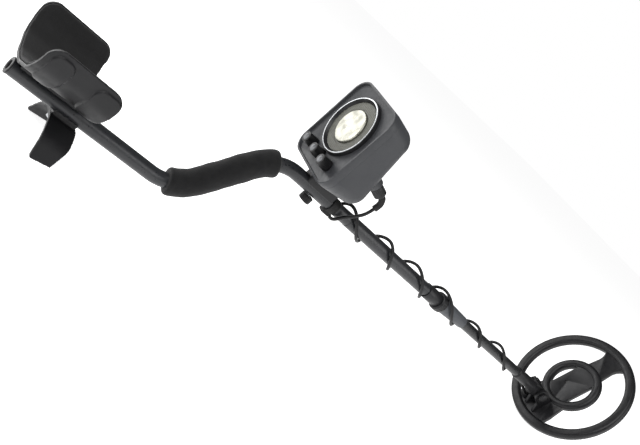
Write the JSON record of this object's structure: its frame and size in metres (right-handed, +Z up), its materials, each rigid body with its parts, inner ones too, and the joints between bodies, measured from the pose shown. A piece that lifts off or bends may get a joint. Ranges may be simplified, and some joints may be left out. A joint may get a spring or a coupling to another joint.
{
  "type": "metal detector",
  "caption": "Hand-held metal detector with a foam-gripped S-shaped rod, arm cup with stand, control box with speaker and knobs, telescopic twist-lock rod, wrapped cable and tilting ring coil.",
  "frame": {"origin": "on the floor, under the middle of the whole detector's box; it stands on the arm stand's soles and the coil's lower rear rim", "axes": "+X along the rod towards the coil, +Y to the user's left, +Z up"},
  "size_m": [1.1178, 0.2112, 0.2662],
  "materials": {
    "tube": "satin black powder coat on aluminium tube",
    "lower_tube": "satin black coated tube",
    "tube_metal": "plain drawn aluminium, hidden",
    "foam": "closed-cell foam sleeve",
    "pad_foam": "smooth moulded foam pad",
    "cup_plastic": "moulded black nylon",
    "housing_plastic": "moulded dark grey ABS, fine texture",
    "steel": "zinc plated steel",
    "speaker_trim": "anodised aluminium ring",
    "speaker_dome": "glossy metallised dome",
    "speaker_mesh": "black coated perforated sheet",
    "speaker_basket": "pressed steel",
    "speaker_paper": "paper cone",
    "magnet": "ferrite magnet",
    "knob_plastic": "moulded black ABS",
    "knob_face": "spun aluminium disc",
    "board": "printed circuit board",
    "battery": "painted battery can",
    "nickel": "nickel plated brass",
    "jacket": "soft PVC cable jacket",
    "rubber": "moulded rubber",
    "brass": "machined brass",
    "lock_plastic": "moulded black nylon",
    "nut_plastic": "moulded grey nylon",
    "spring_steel": "spring steel strip",
    "coil_plastic": "moulded black ABS shell",
    "copper": "enamelled copper wire"
  },
  "bodies": {
    "frame": {"s_rod": "tube", "rear_end_cap": "lock_plastic", "foam_grip": "foam", "arm_cup": "cup_plastic", "cup_padding": "pad_foam", "cup_bolts": "steel", "cup_nuts": "steel", "stand": "cup_plastic", "housing_front": "housing_plastic", "housing_rear": "housing_plastic", "speaker_ring": "speaker_trim", "speaker_grille": "speaker_mesh", "speaker_disc": "speaker_dome", "speaker_frame": "speaker_basket", "speaker_cone": "speaker_paper", "speaker_magnet": "magnet", "potentiometers": "steel", "circuit_board": "board", "batteries": "battery", "battery_holder": "lock_plastic", "box_bracket": "lock_plastic", "bracket_screws": "steel", "connector_socket": "nickel", "connector_plug": "lock_plastic", "strain_relief": "rubber", "cable_strap": "rubber", "middle_tube": "tube", "rod_joiner": "tube_metal", "button_spring": "spring_steel", "lock_sleeve": "lock_plastic", "lock_collet": "lock_plastic", "cable_upper": "jacket"},
    "clamp": {"clamp_knob": "knob_plastic", "clamp_screw": "steel"},
    "plug_ring": {"plug_nut": "lock_plastic"},
    "release_button": {"snap_button": "lock_plastic"},
    "twist_lock": {"lock_ring": "lock_plastic", "lock_nut": "nut_plastic"},
    "lower_rod": {"lower_tube": "lower_tube", "tube_tip": "lock_plastic", "cable_lower": "jacket"},
    "coil": {"coil_lower": "coil_plastic", "coil_upper": "coil_plastic", "transmit_winding": "copper", "receive_winding": "copper", "pivot_washers": "rubber", "coil_gland": "lock_plastic", "cable_tail": "jacket"},
    "pivot_clamp": {"pivot_bolt": "lock_plastic", "pivot_knob": "knob_plastic"},
    "door": {"battery_door": "housing_plastic"},
    "volume_control": {"volume_knob": "knob_plastic", "volume_cap": "knob_face", "volume_shaft": "brass"},
    "sensitivity_control": {"sensitivity_knob": "knob_plastic", "sensitivity_cap": "knob_face", "sensitivity_shaft": "brass"},
    "discrimination_control": {"discrimination_knob": "knob_plastic", "discrimination_cap": "knob_face", "discrimination_shaft": "brass"}
  },
  "joints": [
    {"name": "volume_turn", "type": "hinge", "parent": "frame", "child": "volume_control", "pos_m": [-0.21396, 0.0275, 0.16543], "axis": [0.9941, 0, -0.1086], "range_deg": [-135, 135]},
    {"name": "sensitivity_turn", "type": "hinge", "parent": "frame", "child": "sensitivity_control", "pos_m": [-0.21396, 0, 0.16543], "axis": [0.9941, 0, -0.1086], "range_deg": [-135, 135]},
    {"name": "discrimination_turn", "type": "hinge", "parent": "frame", "child": "discrimination_control", "pos_m": [-0.21396, -0.0275, 0.16543], "axis": [0.9941, 0, -0.1086], "range_deg": [-135, 135]},
    {"name": "clamp_turn", "type": "hinge", "parent": "frame", "child": "clamp", "pos_m": [-0.18625, 0, 0.11059], "axis": [0.1086, 0, 0.9941], "continuous": true},
    {"name": "plug_ring_turn", "type": "hinge", "parent": "frame", "child": "plug_ring", "pos_m": [-0.14078, -0.03, 0.18043], "axis": [0.9383, 0, -0.3459], "continuous": true},
    {"name": "button_press", "type": "slide", "parent": "frame", "child": "release_button", "axis": [0, -1, 0], "range_m": [0, 0.0026], "stiffness_N_per_m": 900, "springref_m": -0.004, "deforming": ["button_spring"]},
    {"name": "lock_turn", "type": "hinge", "parent": "frame", "child": "twist_lock", "pos_m": [0.11156, 0, 0.09264], "axis": [0.9941, 0, -0.1086], "range_deg": [0, 180]},
    {"name": "rod_slide", "type": "slide", "parent": "frame", "child": "lower_rod", "axis": [0.9941, 0, -0.1086], "range_m": [-0.05, 0.06], "deforming": ["cable_lower"]},
    {"name": "coil_tilt", "type": "hinge", "parent": "lower_rod", "child": "coil", "pos_m": [0.45949, 0, 0.05463], "axis": [0, 1, 0], "range_deg": [-60, 73], "deforming": ["cable_tail"]},
    {"name": "pivot_clamp_turn", "type": "hinge", "parent": "coil", "child": "pivot_clamp", "pos_m": [0.45949, 0, 0.05463], "axis": [0, 1, 0], "continuous": true},
    {"name": "door_swing", "type": "hinge", "parent": "frame", "child": "door", "pos_m": [-0.1531, 0, 0.18296], "axis": [0, 1, 0], "range_deg": [0, 100]}
  ]
}
